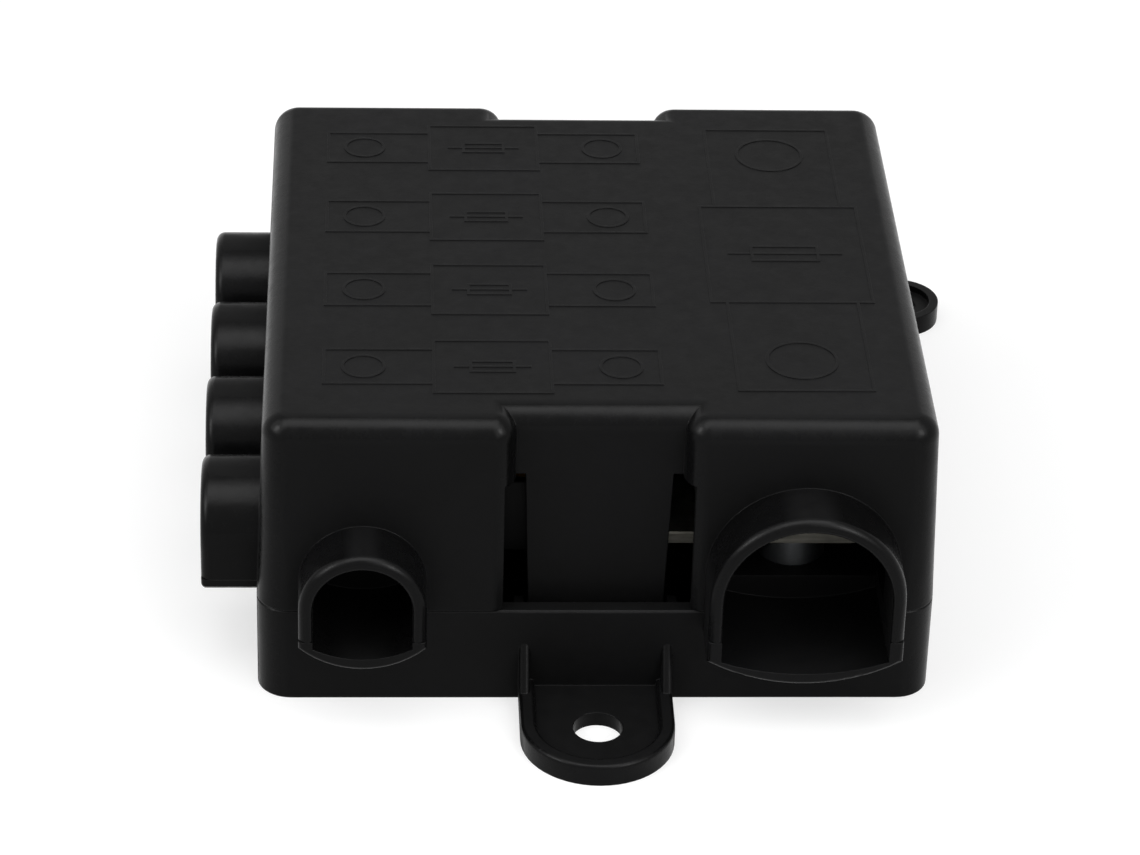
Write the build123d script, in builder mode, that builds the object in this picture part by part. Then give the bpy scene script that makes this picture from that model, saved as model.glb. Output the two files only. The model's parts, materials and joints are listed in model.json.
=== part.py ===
import math
import os

from build123d import *

os.makedirs("parts", exist_ok=True)

# A five-way fuse box: a moulded base with screw studs, four small bolt-in fuses on a
# shared busbar, one large bolt-in fuse that feeds the busbar, and a cover that lifts off.
# The origin is the middle of the base's underside, +X to the right of the main port side,
# -Y towards the front with the two front ports, and +Z up.

# Fuse pattern
row_count = 4  # small fuses
row_pitch = 18.0
small_span = 30.0  # between the two studs of a small fuse
large_span = 50.8  # between the two studs of the large fuse
column_gap = 21.2  # from the busbar's stud column to the large fuse's studs

# Housing
left_margin = 12.4  # from the cable stud column to the left wall
right_margin = 15.8  # from the large fuse's studs to the right wall
row_margin = 13.85  # from an end row to the front or back wall
large_margin = 15.45  # from a large stud to the front or back wall
base_height = 12.3
cover_height = 24.9
wall = 2.0
floor = 2.0
draft_angle = 2.1
plan_radius = 4.0
top_round = 2.8
bottom_round = 0.15
seam_bevel = 0.25

# Latch tongues, front and back, each at the foot of a recess in the wall
recess_width = 19.4
recess_depth = 3.0
tongue_width = 17.1
tongue_taper = 1.1  # how much narrower the tongue is at the seam
tongue_wall = 1.8
tongue_reach = 5.3  # below the seam
slot_side = 1.3  # how far each slot is cut into the recess's side
slot_height = 16.5
latch_gap = 0.1
guide_gap = 0.4
guide_rib = 1.2
guide_drop = 1.6  # from the seam down to the guide ribs' tops
nub_height = 2.4

# Cable ports: half width of the mouth, wall, height of the arch's centre,
# how far the cheeks drop below the seam and how far the cradle sags below them
hood_reach = 6.6
hood_root = 1.2  # how far a hood is sunk into the cover's wall
port_wall = 1.65
small_mouth = 5.75
small_arch = 16.4
small_cheek = 0.9
small_sag = 2.9
large_mouth = 9.75
large_arch = 17.55
large_cheek = 2.7
large_sag = 3.15
cradle_wall = 1.5
hood_round = 1.1
mouth_round = 0.5
cradle_round = 0.6

# Mounting lugs
lug_radius = 9.0
lug_reach = 8.45  # from the front wall to the screw hole
lug_hole = 5.8
lug_floor = 1.8
lug_rim_height = 2.7
lug_rim = 1.85
lug_round = 0.5
gusset_wall = 1.25
gusset_run = 3.0
gusset_height = 7.7
ear_radius = 5.4
ear_out = 5.4  # from the right wall to the ear's hole
ear_back = 8.1  # from the back wall to the ear's hole
ear_root = 13.0  # length of the ear's root along the back wall
ear_hole = 4.8
ear_rim = 1.2

# Copper
busbar_level = 16.7
busbar_thickness = 1.5
busbar_width = 12.0
busbar_arm = 15.2
busbar_end = 8.0  # from the large stud to the arm's end
busbar_radius = 1.5
hole_clearance = 0.3

# Studs and what is on them
m5 = {"d": 5.0, "flats": 8.0, "head": 3.5, "nut": 4.0, "disc": 10.0, "disc_t": 1.0,
      "spring": 8.8, "spring_t": 1.2, "tail": 2.5}
m8 = {"d": 8.0, "flats": 13.0, "head": 5.3, "nut": 6.5, "disc": 16.0, "disc_t": 1.6,
      "spring": 14.0, "spring_t": 2.0, "tail": 3.0}
head_recess = 0.6  # from the base's underside up to a stud's head
head_gap = 0.05
boss_small = 11.5
boss_large = 19.0
platform_level = 11.2  # the front large stud stands on a low platform, with room for a cable lug
platform_front = 6.2  # from the large stud to the platform's front edge
platform_back = 7.4
spring_gap = 0.9
chamfer_share = 0.12

# Small fuse
small_tab_width = 8.05
small_length = 39.5
small_tab = 0.9
small_body = (14.0, 12.1)
small_body_below = 2.4
small_body_above = 6.2
small_neck = 2.4

# Large fuse
large_tab_width = 16.0
large_length = 64.8
large_tab = 1.2
large_body = (19.75, 24.0)
large_body_below = 3.0
large_body_above = 8.0
large_neck = 4.0
fuse_round = 0.8
fuse_wall = 1.0
chamber_share = 0.6  # the neck's and its chamber's length, as a share of the body's
panel_depth = 0.3

# Ribs inside the base
rib = 1.6
rib_height = 22.0
rib_gap = 1.0
locating_rib = 1.0
locating_height = 1.8
locating_gap = 0.15

# Raised outlines on the cover
line_width = 0.35
line_height = 0.08
small_circle = 2.6
large_circle = 4.3
symbol_small = (9.0, 2.6)
symbol_large = (14.0, 3.8)
sign_share = 0.6  # the sign's box, as a share of its line

end_tolerance = 0.01  # for picking edges by their place

# Worked out from the sizes above
width = left_margin + small_span + column_gap + right_margin
depth = max((row_count - 1) * row_pitch + 2 * row_margin, large_span + 2 * large_margin)
height = base_height + cover_height
half_w = width / 2
half_d = depth / 2
cable_x = -half_w + left_margin
bus_x = cable_x + small_span
large_x = bus_x + column_gap
small_x = (cable_x + bus_x) / 2
rows = [row_pitch * (i - (row_count - 1) / 2) for i in range(row_count)]
front_y = -large_span / 2
rear_y = large_span / 2
tab_level = busbar_level + busbar_thickness
draft = math.tan(math.radians(draft_angle))
top_half_d = half_d - cover_height * draft
recess_y = top_half_d - recess_depth
slot_top = base_height + slot_height
slot_edge = recess_width / 2 + slot_side
lug_y = -half_d - lug_reach
arm_front = rows[0] - busbar_width / 2
arm_back = arm_front + busbar_arm
ear_x = half_w + ear_out
ear_y = half_d + ear_back

small_port = {"mouth": small_mouth, "arch": small_arch, "cheek": small_cheek, "sag": small_sag}
large_port = {"mouth": large_mouth, "arch": large_arch, "cheek": large_cheek, "sag": large_sag}

# Each port's plane stands on the wall, with its own x along the wall and its own y up
left_plane = Plane(origin=(-half_w, 0, 0), x_dir=(0, -1, 0), z_dir=(-1, 0, 0))
front_plane = Plane(origin=(0, -half_d, 0), x_dir=(1, 0, 0), z_dir=(0, -1, 0))
back_plane = Plane(origin=(0, half_d, 0), x_dir=(-1, 0, 0), z_dir=(0, 1, 0))
# Ports that share a wall and a depth are made together: plane, places along it, kind and
# depth inwards
ports = [
    (left_plane, [-y for y in rows], small_port, cable_x + half_w - boss_small / 2),
    (front_plane, [cable_x], small_port, rows[0] + half_d - boss_small / 2),
    (front_plane, [large_x], large_port, front_y + half_d - platform_front),
    (back_plane, [-cable_x], small_port, half_d - rows[-1] - boss_small / 2),
    (back_plane, [-large_x], large_port, half_d - rear_y - boss_large / 2),
]


def arch(centres, half, top_centre, bottom):
    """Round-topped openings, with straight sides down to the height called bottom."""
    with BuildSketch() as sketch:
        with Locations(*[(centre, top_centre) for centre in centres]):
            Circle(half)
        with Locations(*[(centre, bottom) for centre in centres]):
            Rectangle(2 * half, top_centre - bottom, align=(Align.CENTER, Align.MIN))
            Rectangle(2 * half, 2 * half, align=(Align.CENTER, Align.MAX), mode=Mode.SUBTRACT)
    return sketch.sketch


def trough(centres, half, top, side, bottom):
    """The part of a port under the seam: straight cheeks and a shallow arc under them."""
    with BuildSketch() as sketch:
        for centre in centres:
            left = centre - half
            right = centre + half
            with BuildLine():
                Polyline((left, side), (left, top), (right, top), (right, side))
                ThreePointArc((right, side), (centre, bottom), (left, side))
            make_face()
    return sketch.sketch


def mouth_below(centres, port, top):
    side = base_height - port["cheek"]
    bottom = side - port["sag"] + cradle_wall
    return trough(centres, port["mouth"], top, side, bottom)


def cradle_below(centres, port):
    side = base_height - port["cheek"]
    return trough(centres, port["mouth"] + port_wall, base_height, side, side - port["sag"])


def middle(edge):
    """The point halfway along an edge."""
    return edge @ 0.5


def at_port_end(edge, side_wall, end_wall):
    """Whether an edge lies in the plane where the ports end, outside the walls."""
    out_x = abs(edge.center().X) - side_wall
    out_y = abs(edge.center().Y) - end_wall
    return max(out_x, out_y) > hood_reach - end_tolerance


def is_mouth_edge(edge, plane, centres, port):
    """Whether an edge runs round a mouth in the plane where its port ends."""
    spot = plane.offset(hood_reach).to_local_coords(middle(edge))
    if abs(spot.Z) > end_tolerance or spot.Y < base_height + end_tolerance:
        return False
    rise = max(spot.Y - port["arch"], 0)
    distances = [math.hypot(spot.X - centre, rise) - port["mouth"] for centre in centres]
    return min(abs(distance) for distance in distances) < end_tolerance


def export(piece, name):
    piece.label = name
    export_step(piece, f"parts/{name}.step")


# Every stud: name, place, size, and the level of the plastic under its stack
studs = []
for i, row_y in enumerate(rows):
    studs.append((f"row{i + 1}_cable", cable_x, row_y, m5, tab_level))
    studs.append((f"row{i + 1}_bus", bus_x, row_y, m5, busbar_level))
studs.append(("main_front", large_x, front_y, m8, platform_level))
studs.append(("main_rear", large_x, rear_y, m8, tab_level))


def stud_points(bolt, level=None):
    return [(x, y) for _, x, y, size, seat in studs if size is bolt and level in (None, seat)]


# Base: a tray with a rounded foot, and a fine bevel at the seam
with BuildPart() as base:
    with BuildSketch():
        RectangleRounded(width, depth, plan_radius)
    extrude(amount=base_height - seam_bevel)
    fillet(base.faces().sort_by(Axis.Z)[0].edges(), bottom_round)
    with BuildSketch(Plane.XY.offset(base_height - seam_bevel)):
        RectangleRounded(width, depth, plan_radius)
    extrude(amount=seam_bevel, taper=45)
    with BuildSketch(Plane.XY.offset(floor)):
        RectangleRounded(width - 2 * wall, depth - 2 * wall, plan_radius - wall)
    extrude(amount=height, mode=Mode.SUBTRACT)

    # Blocks that carry the studs
    blocks = ((m5, tab_level, boss_small), (m5, busbar_level, boss_small), (m8, tab_level, boss_large))
    for bolt, level, side in blocks:
        with BuildSketch(Plane.XY.offset(floor)):
            with Locations(*stud_points(bolt, level)):
                RectangleRounded(side, side, rib)
        extrude(amount=level - floor)
    with BuildSketch(Plane.XY.offset(floor)):
        with Locations((large_x, front_y + (platform_back - platform_front) / 2)):
            Rectangle(2 * (large_mouth + port_wall), platform_front + platform_back)
    extrude(amount=platform_level - floor)

    # Blocks between the ports and the stud blocks, and the cradles outside the walls
    for plane, centres, port, inward in ports:
        with BuildSketch(plane.offset(-inward)):
            with Locations(*[(centre, floor) for centre in centres]):
                Rectangle(
                    2 * (port["mouth"] + port_wall), base_height - floor,
                    align=(Align.CENTER, Align.MIN),
                )
        extrude(amount=inward - wall)
        with BuildSketch(plane.offset(-wall / 2)):
            add(cradle_below(centres, port))
        extrude(amount=hood_reach + wall / 2)
    cradle_ends = [edge for edge in base.edges() if at_port_end(edge, half_w, half_d)]
    cradle_edges = [edge for edge in cradle_ends if edge.center().Z < base_height - end_tolerance]
    fillet(cradle_edges, cradle_round)
    for plane, centres, port, inward in ports:
        with BuildSketch(plane.offset(-inward)):
            add(mouth_below(centres, port, height))
        extrude(amount=inward + 2 * hood_reach, mode=Mode.SUBTRACT)

    # Low walls between the rows and beside the large fuse, set in from the cover above the seam
    rib_right = bus_x - busbar_width / 2 - rib_gap
    rib_inset = locating_gap + draft * (rib_height - base_height)
    split_x = bus_x + busbar_width / 2 + 2 * rib_gap
    split_front = arm_back + rib_gap
    for low, high, inset in ((floor, base_height, 0), (base_height, rib_height, rib_inset)):
        rib_left = -half_w + wall + inset
        split_back = half_d - wall - inset
        with BuildSketch(Plane.XY.offset(low)):
            with Locations(*[(rib_left, (one + other) / 2) for one, other in zip(rows[:-1], rows[1:])]):
                Rectangle(rib_right - rib_left, rib, align=(Align.MIN, Align.CENTER))
            with Locations((split_x, split_front)):
                Rectangle(rib, split_back - split_front, align=(Align.CENTER, Align.MIN))
        extrude(amount=high - low)

    # A rest under the busbar's arm
    with BuildSketch(Plane.XY.offset(floor)):
        with Locations(((bus_x + large_x) / 2, (arm_front + arm_back) / 2)):
            Rectangle(rib, busbar_arm - 2 * rib_gap)
    extrude(amount=busbar_level - floor)

    # Guide ribs beside each latch tongue
    guide_x = (tongue_width - tongue_taper) / 2 + guide_gap + guide_rib / 2
    guide_reach = half_d - wall - (recess_y - tongue_wall)
    with BuildSketch(Plane.XY.offset(floor)):
        for sy in (-1, 1):
            with Locations(*[(sx * guide_x, sy * (half_d - wall - guide_reach / 2)) for sx in (-1, 1)]):
                Rectangle(guide_rib, guide_reach)
    extrude(amount=base_height - guide_drop - floor)

    # A locating rib that stands up inside the cover's right wall
    locating_out = half_w - wall - locating_gap - draft * locating_height
    with BuildSketch(Plane.XY.offset(floor)):
        with Locations((half_w - wall, 0)):
            Rectangle(
                half_w - wall - locating_out + locating_rib, depth - 2 * plan_radius,
                align=(Align.MAX, Align.CENTER),
            )
    extrude(amount=base_height - floor)
    with BuildSketch(Plane.XY.offset(base_height)):
        with Locations((locating_out, 0)):
            Rectangle(locating_rib, depth - 2 * plan_radius, align=(Align.MAX, Align.CENTER))
    extrude(amount=locating_height)

    # Front lug: a floor and a rim round a screw hole, with a gusset up to the wall each side
    with BuildSketch():
        with Locations((0, lug_y)):
            Circle(lug_radius)
        with Locations((0, -half_d + wall / 2)):
            Rectangle(2 * lug_radius, lug_reach + wall / 2, align=(Align.CENTER, Align.MAX))
    extrude(amount=lug_rim_height)
    with BuildSketch(Plane.XY.offset(lug_floor)):
        with Locations((0, lug_y)):
            Circle(lug_radius - lug_rim)
        with Locations((0, -half_d)):
            Rectangle(2 * (lug_radius - lug_rim), lug_reach, align=(Align.CENTER, Align.MAX))
    extrude(amount=height, mode=Mode.SUBTRACT)
    for side in (-1, 1):
        with BuildSketch(Plane.YZ.offset(side * (lug_radius - gusset_wall / 2) - gusset_wall / 2)):
            with BuildLine():
                Polyline(
                    (-half_d + wall / 2, 0), (-half_d + wall / 2, gusset_height), (-half_d, gusset_height),
                    (-half_d - gusset_run, lug_rim_height), (-half_d - gusset_run, 0), close=True,
                )
            make_face()
        extrude(amount=gusset_wall)
    lug_edges = [
        edge for edge in base.edges()
        if middle(edge).Y < -half_d - end_tolerance and abs(middle(edge).X) < lug_radius + end_tolerance
    ]
    gusset_edges = [
        edge for edge in lug_edges
        if lug_rim_height < edge.center().Z - end_tolerance < gusset_height
    ]
    rim_edges = [
        edge for edge in lug_edges
        if abs(middle(edge).Z - lug_rim_height) < end_tolerance
        and abs(middle(edge).Y + half_d + gusset_run) > end_tolerance
        and abs(abs(middle(edge).X) - lug_radius + gusset_wall) > end_tolerance
    ]
    fillet(rim_edges + gusset_edges, lug_round)
    with Locations((0, lug_y, lug_floor)):
        Hole(lug_hole / 2)

    # Ear behind the right rear corner, made the same way
    with BuildSketch() as ear_outline:
        with Locations((ear_x, ear_y)):
            Circle(ear_radius)
        with Locations((half_w - plan_radius - ear_root / 2, half_d - wall / 2)):
            Rectangle(ear_root, wall)
        make_hull()
    extrude(amount=lug_rim_height)
    with BuildSketch(Plane.XY.offset(lug_floor)):
        add(ear_outline.sketch)
        offset(amount=-ear_rim, kind=Kind.INTERSECTION)
        with Locations((0, half_d)):
            Rectangle(2 * width, 2 * depth, align=(Align.CENTER, Align.MIN), mode=Mode.INTERSECT)
    extrude(amount=lug_rim_height, mode=Mode.SUBTRACT)
    with Locations((ear_x, ear_y, lug_floor)):
        Hole(ear_hole / 2)

    # Hexagon pockets for the stud heads, and the stud bores above them
    for bolt in (m5, m8):
        with BuildSketch():
            with Locations(*stud_points(bolt)):
                RegularPolygon(bolt["flats"] / 2 + head_gap, 6, major_radius=False)
        extrude(amount=head_recess + bolt["head"], mode=Mode.SUBTRACT)
        with BuildSketch():
            with Locations(*stud_points(bolt)):
                Circle(bolt["d"] / 2 + head_gap)
        extrude(amount=height, mode=Mode.SUBTRACT)
export(base.part, "base")


def frame(length, breadth):
    """The outline of a rectangle as a line of the raised width."""
    Rectangle(length, breadth)
    Rectangle(length - 2 * line_width, breadth - 2 * line_width, mode=Mode.SUBTRACT)


def fuse_outline(places, tabs, body, span, circle, sign, turn):
    """A bolt-in fuse as seen from above, along x before it is turned."""
    with BuildSketch() as tab_lines:
        frame(*tabs)
        Rectangle(*body, mode=Mode.SUBTRACT)
    with BuildSketch() as body_lines:
        frame(*body)
    with BuildSketch() as rings:
        with Locations((-span / 2, 0), (span / 2, 0)):
            Circle(circle)
            Circle(circle - line_width, mode=Mode.SUBTRACT)
    with BuildSketch() as fuse_sign:
        frame(sign[0] * sign_share, sign[1])
        Rectangle(sign[0], line_width)
    with BuildSketch() as outline:
        for x, y in places:
            with Locations(Location((x, y), turn)):
                add(tab_lines.sketch)
                add(body_lines.sketch)
                add(rings.sketch)
            with Locations((x, y)):
                add(fuse_sign.sketch)
    return outline.sketch


# Cover: a drafted shell, with a recess and a latch tongue at the front and the back
with BuildPart() as cover_inside:
    with BuildSketch(Plane.XY.offset(base_height)):
        RectangleRounded(width - 2 * wall, depth - 2 * wall, plan_radius - wall)
    extrude(amount=cover_height - wall, taper=draft_angle)
    for side in (-1, 1):
        lip_y = side * (recess_y - tongue_wall)
        with BuildSketch(Plane.XY.offset(base_height)):
            with Locations((0, lip_y + side * half_d / 2)):
                Rectangle(recess_width, half_d)
        extrude(amount=cover_height, mode=Mode.SUBTRACT)
        with BuildSketch(Plane.XY.offset(slot_top - wall)):
            with Locations((0, lip_y + side * half_d / 2)):
                Rectangle(recess_width + 2 * tongue_wall, half_d)
        extrude(amount=cover_height, mode=Mode.SUBTRACT)

with BuildPart() as cover:
    with BuildSketch(Plane.XY.offset(base_height)):
        RectangleRounded(width, depth, plan_radius)
    extrude(amount=cover_height, taper=draft_angle)
    for side in (-1, 1):
        with BuildSketch(Plane.XY.offset(base_height)):
            with Locations((0, side * (recess_y + half_d / 2))):
                Rectangle(recess_width, half_d)
        extrude(amount=cover_height, mode=Mode.SUBTRACT)
    recess_corners = [
        edge for edge in cover.edges().filter_by(GeomType.LINE)
        if abs(abs(edge.center().X) - recess_width / 2) < end_tolerance
        and abs(edge.center().Y) > (half_d + top_half_d) / 2 - end_tolerance
        and base_height + end_tolerance < edge.center().Z < height - end_tolerance
    ]
    fillet(cover.faces().sort_by(Axis.Z)[-1].edges() + ShapeList(recess_corners), top_round)

    # Hoods over the ports
    for plane, centres, port, inward in ports:
        with BuildSketch(plane.offset(-hood_root)):
            add(arch(centres, port["mouth"] + port_wall, port["arch"], base_height))
        extrude(amount=hood_reach + hood_root)
    hood_ends = [edge for edge in cover.edges() if at_port_end(edge, half_w, half_d)]
    hood_edges = [edge for edge in hood_ends if edge.center().Z > base_height + end_tolerance]
    fillet(hood_edges, hood_round)
    add(cover_inside.part, mode=Mode.SUBTRACT)
    for plane, centres, port, inward in ports:
        with BuildSketch(plane.offset(-2 * wall)):
            add(arch(centres, port["mouth"], port["arch"], base_height))
        extrude(amount=2 * wall + 2 * hood_reach, mode=Mode.SUBTRACT)
    for plane, centres, port, inward in ports:
        mouth_edges = [edge for edge in cover.edges() if is_mouth_edge(edge, plane, centres, port)]
        fillet(mouth_edges, mouth_round)

    # The slots that free each tongue, the tongue's end inside the base, and its nub
    seam_half = (tongue_width - tongue_taper) / 2
    end_half = seam_half - tongue_taper / 2 * tongue_reach / slot_height
    nub_low = base_height - tongue_reach
    nub_out = half_d - wall - latch_gap
    for side in (-1, 1):
        with BuildSketch(Plane.XZ.offset(-side * (recess_y - 2 * tongue_wall))):
            for sx in (-1, 1):
                with BuildLine():
                    Polyline(
                        (sx * tongue_width / 2, slot_top), (sx * slot_edge, slot_top),
                        (sx * slot_edge, base_height), (sx * seam_half, base_height), close=True,
                    )
                make_face()
        extrude(amount=-side * half_d, mode=Mode.SUBTRACT)
        with BuildSketch(Plane.XZ.offset(-side * recess_y)):
            with BuildLine():
                Polyline(
                    (-seam_half, base_height), (seam_half, base_height),
                    (end_half, nub_low), (-end_half, nub_low), close=True,
                )
            make_face()
        extrude(amount=side * tongue_wall)
        with BuildSketch(Plane.YZ.offset(-seam_half / 2)):
            with BuildLine():
                Polyline(
                    (side * (recess_y - tongue_wall / 2), nub_low), (side * recess_y, nub_low),
                    (side * nub_out, nub_low + nub_height / 2), (side * nub_out, nub_low + nub_height),
                    (side * (recess_y - tongue_wall / 2), nub_low + nub_height), close=True,
                )
            make_face()
        extrude(amount=seam_half)

    # Raised outlines on top: each fuse as seen from above, with the common fuse sign in its middle
    with BuildSketch(Plane.XY.offset(height)):
        add(fuse_outline([(small_x, y) for y in rows], (small_length, small_tab_width), small_body,
                         small_span, small_circle, symbol_small, 0))
        add(fuse_outline([(large_x, 0)], (large_length, large_tab_width), large_body[::-1],
                         large_span, large_circle, symbol_large, 90))
    extrude(amount=line_height)
export(cover.part, "cover")


# Busbar: one punched plate that joins the four small fuses to the large fuse's front stud
with BuildPart() as busbar:
    with BuildSketch(Plane.XY.offset(busbar_level)) as busbar_outline:
        with Locations((bus_x, arm_front)):
            Rectangle(busbar_width, rows[-1] - rows[0] + busbar_width, align=(Align.CENTER, Align.MIN))
        with Locations((bus_x, arm_front)):
            Rectangle(large_x - bus_x + busbar_end, busbar_arm, align=(Align.MIN, Align.MIN))
        fillet(busbar_outline.vertices(), busbar_radius)
        with Locations(*stud_points(m5, busbar_level)):
            Circle((m5["d"] + hole_clearance) / 2, mode=Mode.SUBTRACT)
        with Locations(*stud_points(m8, platform_level)):
            Circle((m8["d"] + hole_clearance) / 2, mode=Mode.SUBTRACT)
    extrude(amount=busbar_thickness)
    chamfer(busbar.faces().sort_by(Axis.Z)[-1].outer_wire().edges(), busbar_thickness * chamfer_share)
export(busbar.part, "busbar")


def make_stud(x, y, bolt, top):
    """A hexagon-headed screw, head down in its pocket, with a chamfered tip."""
    with BuildPart() as stud:
        with BuildSketch(Plane((x, y, head_recess))):
            RegularPolygon(bolt["flats"] / 2, 6, major_radius=False)
        extrude(amount=bolt["head"])
        with BuildSketch(Plane((x, y, head_recess))):
            Circle(bolt["d"] / 2)
        extrude(amount=top - head_recess)
        chamfer(stud.faces().sort_by(Axis.Z)[-1].edges(), bolt["d"] * chamfer_share)
    return stud.part


def make_ring(x, y, level, thickness, outer, inner, slit):
    """A washer, or a spring washer where slit is the width of its gap."""
    with BuildPart() as ring:
        with BuildSketch(Plane((x, y, level))):
            Circle(outer / 2)
            Circle(inner / 2, mode=Mode.SUBTRACT)
            if slit:
                Rectangle(outer, slit, align=(Align.MIN, Align.CENTER), mode=Mode.SUBTRACT)
        extrude(amount=thickness)
    return ring.part


def make_nut(x, y, level, bolt):
    """A hexagon nut with both faces chamfered at 30 degrees."""
    flat = bolt["flats"] / 2
    corner = bolt["flats"] / math.sqrt(3)
    drop = (corner - flat) * math.tan(math.radians(30))
    top = bolt["nut"]
    with BuildPart() as nut:
        with BuildSketch(Plane((x, y, level))):
            RegularPolygon(flat, 6, major_radius=False)
        extrude(amount=top)
        with BuildSketch(Plane(origin=(x, y, level), x_dir=(1, 0, 0), z_dir=(0, -1, 0))):
            with BuildLine():
                Polyline(
                    (0, 0), (flat, 0), (corner, drop), (corner, top - drop), (flat, top), (0, top),
                    close=True,
                )
            make_face()
        revolve(axis=Axis((x, y, 0), (0, 0, 1)), mode=Mode.INTERSECT)
        with BuildSketch(Plane((x, y, level))):
            Circle(bolt["d"] / 2 + head_gap)
        extrude(amount=top, mode=Mode.SUBTRACT)
    return nut.part


# Each stud with its washer, spring washer and nut on the fuse's tab
for name, x, y, bolt, seat in studs:
    tab = small_tab if bolt is m5 else large_tab
    washer_level = tab_level + tab
    spring_level = washer_level + bolt["disc_t"]
    nut_level = spring_level + bolt["spring_t"]
    inner = bolt["d"] + hole_clearance
    export(make_stud(x, y, bolt, nut_level + bolt["nut"] + bolt["tail"]), f"{name}_stud")
    export(make_ring(x, y, washer_level, bolt["disc_t"], bolt["disc"], inner, 0), f"{name}_washer")
    export(
        make_ring(x, y, spring_level, bolt["spring_t"], bolt["spring"], inner, spring_gap),
        f"{name}_spring_washer",
    )
    export(make_nut(x, y, nut_level, bolt), f"{name}_nut")


def make_link(plane, tabs, thickness, span, bolt, neck, body):
    """The fuse's metal strip: two bolt holes and a narrow neck that melts, inside the body."""
    with BuildPart() as link:
        with BuildSketch(plane):
            Rectangle(*tabs)
            with Locations((-span / 2, 0), (span / 2, 0)):
                Circle((bolt["d"] + hole_clearance) / 2, mode=Mode.SUBTRACT)
            with Locations((0, tabs[1] / 2), (0, -tabs[1] / 2)):
                SlotOverall(body[0] * chamber_share, tabs[1] - neck, mode=Mode.SUBTRACT)
        extrude(amount=thickness)
    return link.part


def make_body(plane, tabs, thickness, body, below, above):
    """The moulded body round the strip, with a chamber round the neck and a label panel on top."""
    with BuildPart() as block:
        with BuildSketch(plane.offset(-below)):
            RectangleRounded(*body, fuse_round)
        extrude(amount=below + thickness + above)
        fillet(block.faces().sort_by(Axis.Z)[-1].edges(), fuse_round / 2)
        with BuildSketch(plane.offset(thickness + above - panel_depth)):
            RectangleRounded(body[0] - 2 * fuse_wall, body[1] - 2 * fuse_wall, fuse_round)
        extrude(amount=panel_depth, mode=Mode.SUBTRACT)
        with BuildSketch(plane):
            Rectangle(2 * body[0], tabs[1] + 2 * head_gap)
        extrude(amount=thickness, mode=Mode.SUBTRACT)
        with BuildSketch(plane.offset(fuse_wall - below)):
            Rectangle(body[0] * chamber_share + fuse_wall, body[1] - 2 * fuse_wall)
        extrude(amount=below + thickness + above - panel_depth - 2 * fuse_wall, mode=Mode.SUBTRACT)
    return block.part


# Small fuses along x, the large fuse along y
fuses = [(f"row{i + 1}", Plane((small_x, y, tab_level)), m5) for i, y in enumerate(rows)]
fuses.append(("main", Plane(origin=(large_x, 0, tab_level), x_dir=(0, 1, 0), z_dir=(0, 0, 1)), m8))
for name, plane, bolt in fuses:
    if bolt is m5:
        tabs, thickness = (small_length, small_tab_width), small_tab
        body, span, neck = small_body, small_span, small_neck
        below, above = small_body_below, small_body_above
    else:
        tabs, thickness = (large_length, large_tab_width), large_tab
        body, span, neck = large_body[::-1], large_span, large_neck
        below, above = large_body_below, large_body_above
    export(make_link(plane, tabs, thickness, span, bolt, neck, body), f"{name}_fuse_link")
    export(make_body(plane, tabs, thickness, body, below, above), f"{name}_fuse_body")
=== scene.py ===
import json
import math

import bmesh
import bpy
import numpy as np
from mathutils import Euler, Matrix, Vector


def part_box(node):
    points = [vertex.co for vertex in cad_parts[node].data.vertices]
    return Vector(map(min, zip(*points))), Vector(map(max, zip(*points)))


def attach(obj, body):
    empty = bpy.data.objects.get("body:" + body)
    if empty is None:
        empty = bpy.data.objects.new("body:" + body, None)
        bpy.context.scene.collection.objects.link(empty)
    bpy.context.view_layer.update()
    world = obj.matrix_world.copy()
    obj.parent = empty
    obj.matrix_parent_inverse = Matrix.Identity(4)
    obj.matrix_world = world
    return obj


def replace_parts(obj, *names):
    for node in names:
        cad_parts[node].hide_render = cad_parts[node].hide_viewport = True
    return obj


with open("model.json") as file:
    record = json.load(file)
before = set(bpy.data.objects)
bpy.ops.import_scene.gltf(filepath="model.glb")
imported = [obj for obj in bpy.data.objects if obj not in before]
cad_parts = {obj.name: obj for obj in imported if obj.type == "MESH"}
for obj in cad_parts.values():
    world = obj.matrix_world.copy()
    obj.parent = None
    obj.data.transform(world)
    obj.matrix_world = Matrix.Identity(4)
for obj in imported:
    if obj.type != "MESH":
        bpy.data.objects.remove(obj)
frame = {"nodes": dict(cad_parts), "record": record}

nodes = frame["nodes"]
slotOf = {part["node"]: part["material_slot"] for part in frame["record"]["subparts"]}
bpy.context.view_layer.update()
mm = 0.001
print("frame loaded,", len(nodes), "nodes")


def linearColour(hexCode):
    # sRGB hex to the linear values that the shaders take
    parts = [int(hexCode[i:i + 2], 16) / 255 for i in (1, 3, 5)]
    return [c / 12.92 if c <= 0.04045 else ((c + 0.055) / 1.055) ** 2.4 for c in parts] + [1.0]


def addNode(tree, kind, settings=None, values=None, links=None):
    # one node, its settings, the values of its sockets and what is linked into it
    node = tree.nodes.new(kind)
    for key, value in (settings or {}).items():
        setattr(node, key, value)
    for key, value in (values or {}).items():
        node.inputs[key].default_value = value
    for key, source in (links or {}).items():
        tree.links.new(source, node.inputs[key])
    return node


def newMaterial(name):
    material = bpy.data.materials.new(name)
    material.use_nodes = True
    material.node_tree.nodes.clear()
    return material, material.node_tree


def noiseNode(tree, place, sizeMm, detail=2.0, roughness=0.5):
    # noise whose blobs are about sizeMm across
    return addNode(tree, "ShaderNodeTexNoise",
                   values={"Scale": 1 / (sizeMm * mm), "Detail": detail, "Roughness": roughness},
                   links={"Vector": place})


noiseMiddle = (0.3, 0.7)  # nearly all of a noise lies between these


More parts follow.
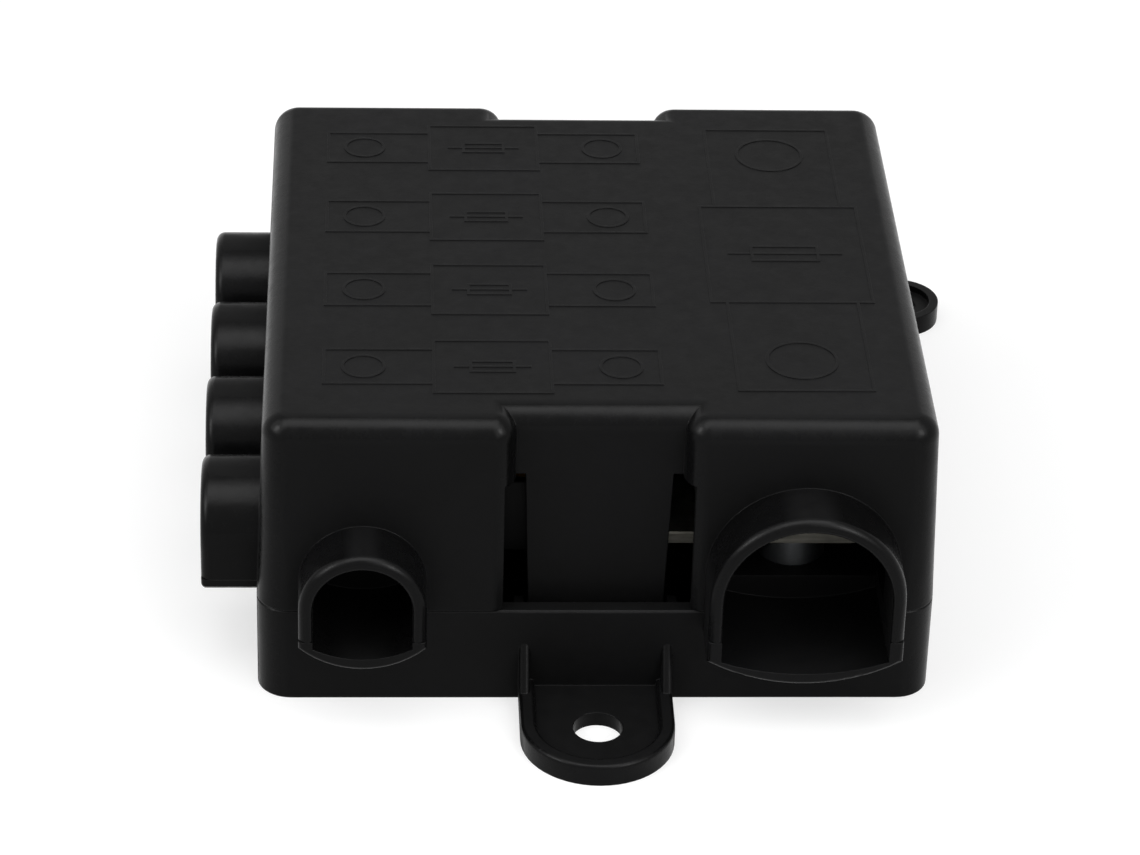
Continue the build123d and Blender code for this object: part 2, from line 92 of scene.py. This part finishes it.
def spread(tree, source, low, high):
    # stretches the middle of a noise over low to high
    return addNode(tree, "ShaderNodeMapRange",
                   values={"From Min": noiseMiddle[0], "From Max": noiseMiddle[1], "To Min": low, "To Max": high},
                   links={"Value": source}).outputs["Result"]


# Black glass-filled nylon, injection moulded in a spark-eroded tool: a deep black, matt on its flat
# faces, with a fine even grain that mottles the light, and satin where the tool is rounded and smooth.
# The tool's grain is finer than a pixel, so it is drawn as coarse as it needs to show
blackNylon = {
    "colour": "#090909", "worn": "#101011", "grainMm": 0.38, "grainDepthMm": 0.03, "grainStrength": 0.35,
    "mottleMm": 1.9, "mottleShare": 2.2, "roughLow": 0.5, "roughHigh": 0.62, "specular": 0.07,
    "cloudMm": 18, "wornShare": 0.6, "roughDrift": 0.025,
    "roundSmoother": 0.3, "flatAbove": 0.995, "roundBelow": 0.95,
    "edgeMm": 0.22, "outlineEdgeMm": 0.05, "outlineFloor": 36.9,
}


def makeBlackNylon(name, look):
    material, tree = newMaterial(name)
    place = addNode(tree, "ShaderNodeTexCoord").outputs["Object"]
    height = addNode(tree, "ShaderNodeSeparateXYZ", links={"Vector": place}).outputs["Z"]
    grain = noiseNode(tree, place, look["grainMm"], 3.0, 0.6)
    mottle = noiseNode(tree, place, look["mottleMm"], 4.0, 0.65)
    cloud = noiseNode(tree, place, look["cloudMm"], 2.0)
    # the raised outlines on top are finer than the other edges, so their rounding is too
    radius = addNode(tree, "ShaderNodeMapRange", {"interpolation_type": "LINEAR"},
                     {"From Min": (look["outlineFloor"] - 0.1) * mm, "From Max": look["outlineFloor"] * mm,
                      "To Min": look["edgeMm"] * mm, "To Max": look["outlineEdgeMm"] * mm},
                     {"Value": height}).outputs["Result"]
    rounded = addNode(tree, "ShaderNodeBevel", {"samples": 6}, links={"Radius": radius})
    # the flat faces look along an axis, the rounded ones between two
    along = addNode(tree, "ShaderNodeVectorMath", {"operation": "ABSOLUTE"}, links={0: rounded.outputs["Normal"]})
    along = addNode(tree, "ShaderNodeSeparateXYZ", links={"Vector": along.outputs["Vector"]})
    most = addNode(tree, "ShaderNodeMath", {"operation": "MAXIMUM"},
                   links={0: along.outputs["X"], 1: along.outputs["Y"]}).outputs["Value"]
    most = addNode(tree, "ShaderNodeMath", {"operation": "MAXIMUM"},
                   links={0: along.outputs["Z"], 1: most}).outputs["Value"]
    edge = addNode(tree, "ShaderNodeMapRange", values={"From Min": look["flatAbove"], "From Max": look["roundBelow"]},
                   links={"Value": most})
    colour = addNode(tree, "ShaderNodeMix", {"data_type": "RGBA"},
                     {"A": linearColour(look["colour"]), "B": linearColour(look["worn"])},
                     {"Factor": spread(tree, cloud.outputs["Fac"], 0.0, look["wornShare"])})
    rough = spread(tree, mottle.outputs["Fac"], look["roughLow"], look["roughHigh"])
    tone = spread(tree, cloud.outputs["Fac"], -look["roughDrift"], look["roughDrift"])
    rough = addNode(tree, "ShaderNodeMath", {"operation": "ADD"}, links={0: rough, 1: tone}).outputs["Value"]
    rough = addNode(tree, "ShaderNodeMath", {"operation": "MULTIPLY_ADD"}, {1: -look["roundSmoother"]},
                    {0: edge.outputs["Result"], 2: rough}).outputs["Value"]
    skin = addNode(tree, "ShaderNodeMath", {"operation": "MULTIPLY_ADD"}, {1: look["mottleShare"]},
                   {0: mottle.outputs["Fac"], 2: grain.outputs["Fac"]})
    bump = addNode(tree, "ShaderNodeBump", values={"Strength": look["grainStrength"],
                                                   "Distance": look["grainDepthMm"] * mm},
                   links={"Height": skin.outputs["Value"], "Normal": rounded.outputs["Normal"]})
    shader = addNode(tree, "ShaderNodeBsdfPrincipled", values={"Specular IOR Level": look["specular"]},
                     links={"Base Color": colour.outputs["Result"], "Roughness": rough,
                            "Normal": bump.outputs["Normal"]})
    addNode(tree, "ShaderNodeOutputMaterial", links={"Surface": shader.outputs["BSDF"]})
    return material


# Steel, cold headed and zinc plated, clear passivated: cool grey with a soft satin shine; its upright faces a little
# darker, which is painted shade
zincSteel = {"colour": "#7a7d7f", "shade": "#5a5c5e", "shearAndShade": "#6b6d6f",
             "grainMm": 0.5, "roughLow": 0.36, "roughHigh": 0.5}
# Copper strip, punched and tin plated: dull warm grey, satin, with fine rolling lines along the strip.
# Its upright faces are streaked where the punch cut them, and darker: painted shade, as the strip sits dim inside the
# housing
tinCopper = {"colour": "#727069", "shade": "#403e3a", "shearAndShade": "#4a4944",
             "grainMm": 0.3, "roughLow": 0.42, "roughHigh": 0.6}


def makePlatedMetal(name, look, rollAlong):
    material, tree = newMaterial(name)
    place = addNode(tree, "ShaderNodeTexCoord").outputs["Object"]
    drawn = addNode(tree, "ShaderNodeMapping", values={"Scale": rollAlong}, links={"Vector": place})
    lines = noiseNode(tree, drawn.outputs["Vector"], look["grainMm"], 3.0, 0.6)
    cloud = noiseNode(tree, place, 4, 4.0, 0.6)
    colour = addNode(tree, "ShaderNodeMix", {"data_type": "RGBA"},
                     {"A": linearColour(look["colour"]), "B": linearColour(look["shade"])},
                     {"Factor": spread(tree, cloud.outputs["Fac"], 0.0, 0.8)})
    # the upright faces get the streaked, darker colour: the streaks are cut marks, the darkness is painted shade
    plain = addNode(tree, "ShaderNodeNewGeometry")
    facing = addNode(tree, "ShaderNodeSeparateXYZ", links={"Vector": plain.outputs["Normal"]}).outputs["Z"]
    level = addNode(tree, "ShaderNodeMath", {"operation": "ABSOLUTE"}, links={0: facing}).outputs["Value"]
    upright = addNode(tree, "ShaderNodeMapRange", values={"From Min": 0.6, "From Max": 0.3},
                      links={"Value": level}).outputs["Result"]
    streaks = spread(tree, lines.outputs["Fac"], 0.3, 1.0)
    shearAndShade = addNode(tree, "ShaderNodeMath", {"operation": "MULTIPLY"}, links={0: upright, 1: streaks})
    colour = addNode(tree, "ShaderNodeMix", {"data_type": "RGBA"}, {"B": linearColour(look["shearAndShade"])},
                     {"A": colour.outputs["Result"], "Factor": shearAndShade.outputs["Value"]})
    rough = spread(tree, lines.outputs["Fac"], look["roughLow"], look["roughHigh"])
    rounded = addNode(tree, "ShaderNodeBevel", {"samples": 4}, {"Radius": 0.12 * mm})
    bump = addNode(tree, "ShaderNodeBump", values={"Strength": 0.25, "Distance": 0.02 * mm},
                   links={"Height": lines.outputs["Fac"], "Normal": rounded.outputs["Normal"]})
    shader = addNode(tree, "ShaderNodeBsdfPrincipled", values={"Metallic": 1.0},
                     links={"Base Color": colour.outputs["Result"], "Roughness": rough,
                            "Normal": bump.outputs["Normal"]})
    addNode(tree, "ShaderNodeOutputMaterial", links={"Surface": shader.outputs["BSDF"]})
    return material


# Nylon fuse bodies, injection moulded in a polished tool: even, half gloss and near black; partly painted shade, so
# the slots beside the latch tongue stay dark
fuseNylon = {"colour": "#060606", "shade": "#0b0b0c", "rough": (0.3, 0.4), "specular": 0.05}
# Moulded nylon label plates in the colours of fuse ratings, half gloss
amberNylon = {"colour": "#c98a22", "shade": "#bb7d1c", "rough": (0.5, 0.62), "specular": 0.1}
blueNylon = {"colour": "#234f8c", "shade": "#1d457d", "rough": (0.5, 0.62), "specular": 0.1}


def makeFuseNylon(name, look):
    material, tree = newMaterial(name)
    place = addNode(tree, "ShaderNodeTexCoord").outputs["Object"]
    cloud = noiseNode(tree, place, 5, 3.0)
    grain = noiseNode(tree, place, 0.3, 2.0)
    colour = addNode(tree, "ShaderNodeMix", {"data_type": "RGBA"},
                     {"A": linearColour(look["colour"]), "B": linearColour(look["shade"])},
                     {"Factor": spread(tree, cloud.outputs["Fac"], 0.0, 1.0)})
    rough = spread(tree, cloud.outputs["Fac"], *look["rough"])
    rounded = addNode(tree, "ShaderNodeBevel", {"samples": 4}, {"Radius": 0.15 * mm})
    bump = addNode(tree, "ShaderNodeBump", values={"Strength": 0.15, "Distance": 0.01 * mm},
                   links={"Height": grain.outputs["Fac"], "Normal": rounded.outputs["Normal"]})
    shader = addNode(tree, "ShaderNodeBsdfPrincipled", values={"Specular IOR Level": look["specular"]},
                     links={"Base Color": colour.outputs["Result"], "Roughness": rough,
                            "Normal": bump.outputs["Normal"]})
    addNode(tree, "ShaderNodeOutputMaterial", links={"Surface": shader.outputs["BSDF"]})
    return material


steelLook = makePlatedMetal("steelZincPlated", zincSteel, (1, 1, 1))
fuseLook = makeFuseNylon("fuseNylonMoulded", fuseNylon)
looks = {
    "black_moulded_plastic": makeBlackNylon("blackNylonMoulded", blackNylon),
    "zinc_plated_steel": steelLook,
    "tinned_copper": makePlatedMetal("copperTinPlated", tinCopper, (0.06, 1, 1)),
    "small_fuse_plastic": fuseLook,
    "large_fuse_plastic": fuseLook,
}
labelLooks = {
    "small_fuse_plastic": makeFuseNylon("amberNylonMoulded", amberNylon),
    "large_fuse_plastic": makeFuseNylon("blueNylonMoulded", blueNylon),
}
print("materials made")


# Loose triangles are joined, and an edge stays sharp only where its faces turn by more than the
# crease angle, so that round forms shade round
creaseDegrees = 28


def joinAndSmoothGroup():
    group = bpy.data.node_groups.new("joinAndSmooth", "GeometryNodeTree")
    group.interface.new_socket("Geometry", in_out="INPUT", socket_type="NodeSocketGeometry")
    group.interface.new_socket("Geometry", in_out="OUTPUT", socket_type="NodeSocketGeometry")
    start = addNode(group, "NodeGroupInput")
    joined = addNode(group, "GeometryNodeMergeByDistance", values={"Distance": 0.002 * mm},
                     links={"Geometry": start.outputs["Geometry"]})
    smooth = addNode(group, "GeometryNodeSetShadeSmooth", {"domain": "FACE"}, {"Shade Smooth": True},
                     {"Geometry": joined.outputs["Geometry"]})
    turn = addNode(group, "GeometryNodeInputMeshEdgeAngle")
    sharp = addNode(group, "FunctionNodeCompare", {"data_type": "FLOAT", "operation": "GREATER_THAN"},
                    {"B": math.radians(creaseDegrees)}, {"A": turn.outputs["Unsigned Angle"]})
    creased = addNode(group, "GeometryNodeSetShadeSmooth", {"domain": "EDGE"}, {"Shade Smooth": False},
                      {"Geometry": smooth.outputs["Geometry"], "Selection": sharp.outputs["Result"]})
    addNode(group, "NodeGroupOutput", links={"Geometry": creased.outputs["Geometry"]})
    return group


joinAndSmooth = joinAndSmoothGroup()


def shadeByAngle(piece):
    piece.modifiers.new("joinAndSmooth", "NODES").node_group = joinAndSmooth
    piece.modifiers.new("weightedNormals", "WEIGHTED_NORMAL").keep_sharp = True


for name, node in nodes.items():
    normals = node.data.attributes.get("custom_normal")
    if normals:
        node.data.attributes.remove(normals)
    node.data.materials.clear()
    node.data.materials.append(looks[slotOf[name]])
    shadeByAngle(node)
print("CAD nodes dressed")


def gridFaces(rows, columns):
    # quads between neighbouring rows and columns; columns crossed with rows points outwards
    first = (np.arange(rows - 1)[:, None] * columns + np.arange(columns - 1)).ravel()
    return np.column_stack((first, first + 1, first + columns + 1, first + columns))


def makePiece(name, grid, look):
    # a grid of points in millimetres, rows by columns by xyz, as a closed piece that rides on the housing
    rows, columns = grid.shape[:2]
    mesh = bpy.data.meshes.new(name)
    mesh.from_pydata((grid.reshape(-1, 3) * mm).tolist(), [], gridFaces(rows, columns).tolist())
    shape = bmesh.new()
    shape.from_mesh(mesh)
    bmesh.ops.remove_doubles(shape, verts=shape.verts, dist=0.002 * mm)
    shape.to_mesh(mesh)
    shape.free()
    mesh.materials.append(look)
    piece = bpy.data.objects.new(name, mesh)
    bpy.context.scene.collection.objects.link(piece)
    shadeByAngle(piece)
    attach(piece, "housing")
    return piece


def boxMm(name):
    low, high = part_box(name)
    return np.array(low) / mm, np.array(high) / mm


# Studs, metric coarse thread: sizes in millimetres, seat is the level from which the shank is threaded
studKinds = {
    "small": {"diameter": 5.0, "pitch": 0.8, "flats": 8.0, "head": 3.5, "tip": 0.6, "around": 48, "seat": 15.6},
    "large": {"diameter": 8.0, "pitch": 1.25, "flats": 13.0, "head": 5.3, "tip": 0.96, "around": 72, "seat": 15.0},
}
# One turn of the thread's profile: part of the pitch, and part of the depth
threadProfile = {"phase": (-0.0625, 0.0625, 0.375, 0.5, 0.625), "depth": (0.0, 0.0, 1.0, 1.07, 1.0)}


def threadedStud(name, kind):
    # The radius over the turn angle and the row. Head: a hexagon, its end cut by a 30 degree cone.
    # Shank: plain up to the seat. Thread: each row climbs one pitch a turn, crests at the shank's
    # radius and roots 0.613 of the pitch deeper. Tip: never outside a 45 degree cone
    low, high = boxMm(name)
    middle = (low + high) / 2
    turn = np.linspace(0, 2 * np.pi, kind["around"] + 1)
    crest = kind["diameter"] / 2
    flat = kind["flats"] / 2
    hexagon = flat / np.cos(turn % (np.pi / 3) - np.pi / 6)
    coneStart = 0.95 * flat
    coneHeight = (flat / math.cos(math.pi / 6) - coneStart) / math.sqrt(3)
    lowRows = low[2] + coneHeight * np.array((0, 0, 0.25, 0.5, 0.75, 1))
    cone = coneStart + (lowRows - low[2]) * math.sqrt(3)
    cone[0] = 0
    headRadius = np.minimum(hexagon, cone[:, None])
    headTop = low[2] + kind["head"]
    shoulder = np.array((headTop, headTop, kind["seat"]))
    shoulderRadius = np.stack((hexagon, np.full_like(turn, crest), np.full_like(turn, crest)))

    turns = math.ceil((high[2] - kind["seat"]) / kind["pitch"]) + 2
    steps = (np.arange(-1, turns - 1)[:, None] + np.array(threadProfile["phase"])).ravel()
    share = np.tile(threadProfile["depth"], turns)
    climb = kind["seat"] + kind["pitch"] * (steps[:, None] + turn / (2 * np.pi))
    climb = np.clip(climb, kind["seat"], high[2])
    runOut = np.clip((climb - kind["seat"]) / kind["pitch"], 0, 1)
    threadRadius = crest - 0.613 * kind["pitch"] * share[:, None] * runOut
    threadRadius = np.minimum(threadRadius, crest - kind["tip"] + high[2] - climb)

    heights = np.concatenate((lowRows, shoulder))[:, None] + np.zeros_like(turn)
    heights = np.vstack((heights, climb, np.full((1, turn.size), high[2])))
    radii = np.vstack((headRadius, shoulderRadius, threadRadius, np.zeros((1, turn.size))))
    grid = np.stack((middle[0] + radii * np.cos(turn), middle[1] + radii * np.sin(turn), heights), axis=-1)
    return makePiece(name + "_threaded", grid, steelLook)


# Spring washers: bore and how far the ends part, in millimetres
springKinds = {
    "small": {"bore": 5.3, "climb": 0.16, "chamfer": 0.12, "slit": 0.9},
    "large": {"bore": 8.3, "climb": 0.24, "chamfer": 0.18, "slit": 0.9},
}


def springWasher(name, kind):
    # A chamfered square section carried once round the bore. It climbs evenly from one side of the
    # slit to the other, and a row at the section's middle closes each end
    low, high = boxMm(name)
    middle = (low + high) / 2
    inner, outer = kind["bore"] / 2, (high[1] - low[1]) / 2
    cut = kind["chamfer"]
    tall = high[2] - low[2] - kind["climb"]
    radius = np.array((outer, outer, outer - cut, inner + cut, inner, inner, inner + cut, outer - cut, outer))
    level = np.array((tall - cut, cut, 0, 0, cut, tall - cut, tall, tall, tall - cut))
    half = math.asin(kind["slit"] / 2 / outer)
    turn = np.linspace(half, 2 * np.pi - half, 61)
    turn = np.concatenate((turn[:1], turn, turn[-1:]))
    radii = np.tile(radius, (turn.size, 1))
    levels = np.tile(level, (turn.size, 1))
    radii[[0, -1]] = (inner + outer) / 2
    levels[[0, -1]] = tall / 2
    rise = kind["climb"] * (turn - half) / (2 * np.pi - 2 * half)
    grid = np.stack((middle[0] + radii * np.cos(turn)[:, None], middle[1] + radii * np.sin(turn)[:, None],
                     low[2] + levels + rise[:, None]), axis=-1)
    return makePiece(name + "_coiled", grid, steelLook)


# Label plates let into the fuse bodies' tops: margin to the body's sides, depth of the recess, thickness
labelPlate = {"margin": 1.15, "recess": 0.3, "thick": 0.2, "round": 0.7, "chamfer": 0.06}


def fuseLabel(name, kind):
    # A rounded rectangle, four quarter circles joined by straight sides, carried from a middle point
    # below, up its side and over a small chamfer to a middle point on top
    low, high = boxMm(name)
    middle = (low + high) / 2
    half = (high - low) / 2 - kind["margin"]
    corner = np.repeat(np.arange(4), 7)
    turn = np.tile(np.linspace(0, np.pi / 2, 7), 4) + corner * np.pi / 2
    across = np.array((1, -1, -1, 1))[corner] * (half[0] - kind["round"])
    along = np.array((1, 1, -1, -1))[corner] * (half[1] - kind["round"])
    turn, across, along = (np.append(values, values[0]) for values in (turn, across, along))
    size = np.array((0, 1, 1, 1, 0))[:, None]
    radius = kind["round"] - np.array((0, 0, 0, kind["chamfer"], 0))[:, None]
    floorLevel = high[2] - kind["recess"]
    top = floorLevel + kind["thick"]
    level = np.array((floorLevel, floorLevel, top - kind["chamfer"], top, top))[:, None] + np.zeros_like(turn)
    grid = np.stack((middle[0] + size * (across + radius * np.cos(turn)),
                     middle[1] + size * (along + radius * np.sin(turn)), level), axis=-1)
    return makePiece(name.replace("body", "label"), grid, labelLooks[slotOf[name]])


for name in sorted(nodes):
    kind = "large" if name.startswith("main") else "small"
    if name.endswith("stud"):
        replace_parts(threadedStud(name, studKinds[kind]), name)
    elif name.endswith("spring_washer"):
        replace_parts(springWasher(name, springKinds[kind]), name)
    elif name.endswith("fuse_body"):
        fuseLabel(name, labelPlate)
print("studs, spring washers and fuse labels made")


# Plain pale floor: the camera sees it white, with the object's soft shadow
stageLook = {"floorSize": 4.0, "floor": "#b4b4b4", "glow": 0.6, "ambient": 0.3}


def seenDirectly(tree):
    # 1 for camera, glossy and transmission rays, 0 for the rays that light the object
    path = addNode(tree, "ShaderNodeLightPath")
    first = addNode(tree, "ShaderNodeMath", {"operation": "MAXIMUM"},
                    links={0: path.outputs["Is Camera Ray"], 1: path.outputs["Is Glossy Ray"]})
    return addNode(tree, "ShaderNodeMath", {"operation": "MAXIMUM"},
                   links={0: first.outputs["Value"], 1: path.outputs["Is Transmission Ray"]}).outputs["Value"]


def makeFloor(look):
    half = look["floorSize"] / 2
    mesh = bpy.data.meshes.new("floor")
    mesh.from_pydata([(-half, -half, 0), (half, -half, 0), (half, half, 0), (-half, half, 0)], [], [(0, 1, 2, 3)])
    floor = bpy.data.objects.new("floor", mesh)
    bpy.context.scene.collection.objects.link(floor)
    material, tree = newMaterial("palePaper")
    glow = addNode(tree, "ShaderNodeMath", {"operation": "MULTIPLY"}, {1: look["glow"]}, {0: seenDirectly(tree)})
    shader = addNode(tree, "ShaderNodeBsdfPrincipled",
                     values={"Base Color": linearColour(look["floor"]), "Roughness": 0.9, "Specular IOR Level": 0.0,
                             "Emission Color": (1, 1, 1, 1)},
                     links={"Emission Strength": glow.outputs["Value"]})
    addNode(tree, "ShaderNodeOutputMaterial", links={"Surface": shader.outputs["BSDF"]})
    mesh.materials.append(material)
    return floor


makeFloor(stageLook)

world = bpy.data.worlds.new("studio")
bpy.context.scene.world = world
world.use_nodes = True
world.node_tree.nodes.clear()
strength = addNode(world.node_tree, "ShaderNodeMapRange", values={"To Min": stageLook["ambient"], "To Max": 1.0},
                   links={"Value": seenDirectly(world.node_tree)})
sky = addNode(world.node_tree, "ShaderNodeBackground", values={"Color": (1, 1, 1, 1)},
              links={"Strength": strength.outputs["Result"]})
addNode(world.node_tree, "ShaderNodeOutputWorld", links={"Surface": sky.outputs["Background"]})

# Soft boxes: degrees round from the front and up from the floor, distance and size in metres, power
# in watts. The glint cards are seen only as reflections: they draw the highlights along rounded
# edges, and add nothing to the light on the object
softBoxes = {
    "leftBox": {"round": -69, "up": 40, "away": 0.8, "size": (0.7, 0.7), "power": 3.6, "glint": False},
    "rightBox": {"round": 42, "up": 38, "away": 0.8, "size": (0.7, 0.7), "power": 3.6, "glint": False},
    "topBox": {"round": 0, "up": 85, "away": 0.8, "size": (0.7, 0.5), "power": 2.2, "glint": False},
    "leftGlint": {"round": -66, "up": 34, "away": 0.8, "size": (0.2, 0.3), "power": 2.0, "glint": True},
    "rightGlint": {"round": 42, "up": 34, "away": 0.8, "size": (0.2, 0.3), "power": 2.0, "glint": True},
    "topGlint": {"round": 0, "up": 74, "away": 0.8, "size": (0.8, 0.5), "power": 4.6, "glint": True},
}
lampAim = Vector((0, 0, 0.02))
for name, box in softBoxes.items():
    lamp = bpy.data.lights.new(name, "AREA")
    lamp.shape, lamp.size, lamp.size_y, lamp.energy = "RECTANGLE", *box["size"], box["power"]
    holder = bpy.data.objects.new(name, lamp)
    level, side = math.radians(box["up"]), math.radians(box["round"])
    reach = Vector((math.sin(side) * math.cos(level), -math.cos(side) * math.cos(level), math.sin(level)))
    holder.location = lampAim + box["away"] * reach
    holder.rotation_euler = (-reach).to_track_quat("-Z", "Y").to_euler()
    holder.visible_diffuse = not box["glint"]
    bpy.context.scene.collection.objects.link(holder)

# Camera at the photograph's angle
cameraSet = {"place": (-0.02591724, -0.45453481, 0.29287265), "turn": (58.33540, -1.48060, -2.14307),
             "lens": 135.516, "sensor": 36.0}
view = bpy.data.cameras.new("photoCamera")
view.sensor_fit, view.sensor_width, view.lens = "HORIZONTAL", cameraSet["sensor"], cameraSet["lens"]
view.clip_start, view.clip_end = 0.01, 20
camera = bpy.data.objects.new("photoCamera", view)
camera.location = cameraSet["place"]
camera.rotation_euler = Euler([math.radians(a) for a in cameraSet["turn"]], "XYZ")
bpy.context.scene.collection.objects.link(camera)
bpy.context.scene.camera = camera
bpy.context.scene.view_settings.view_transform = "Standard"
print("stage, lights and camera set")
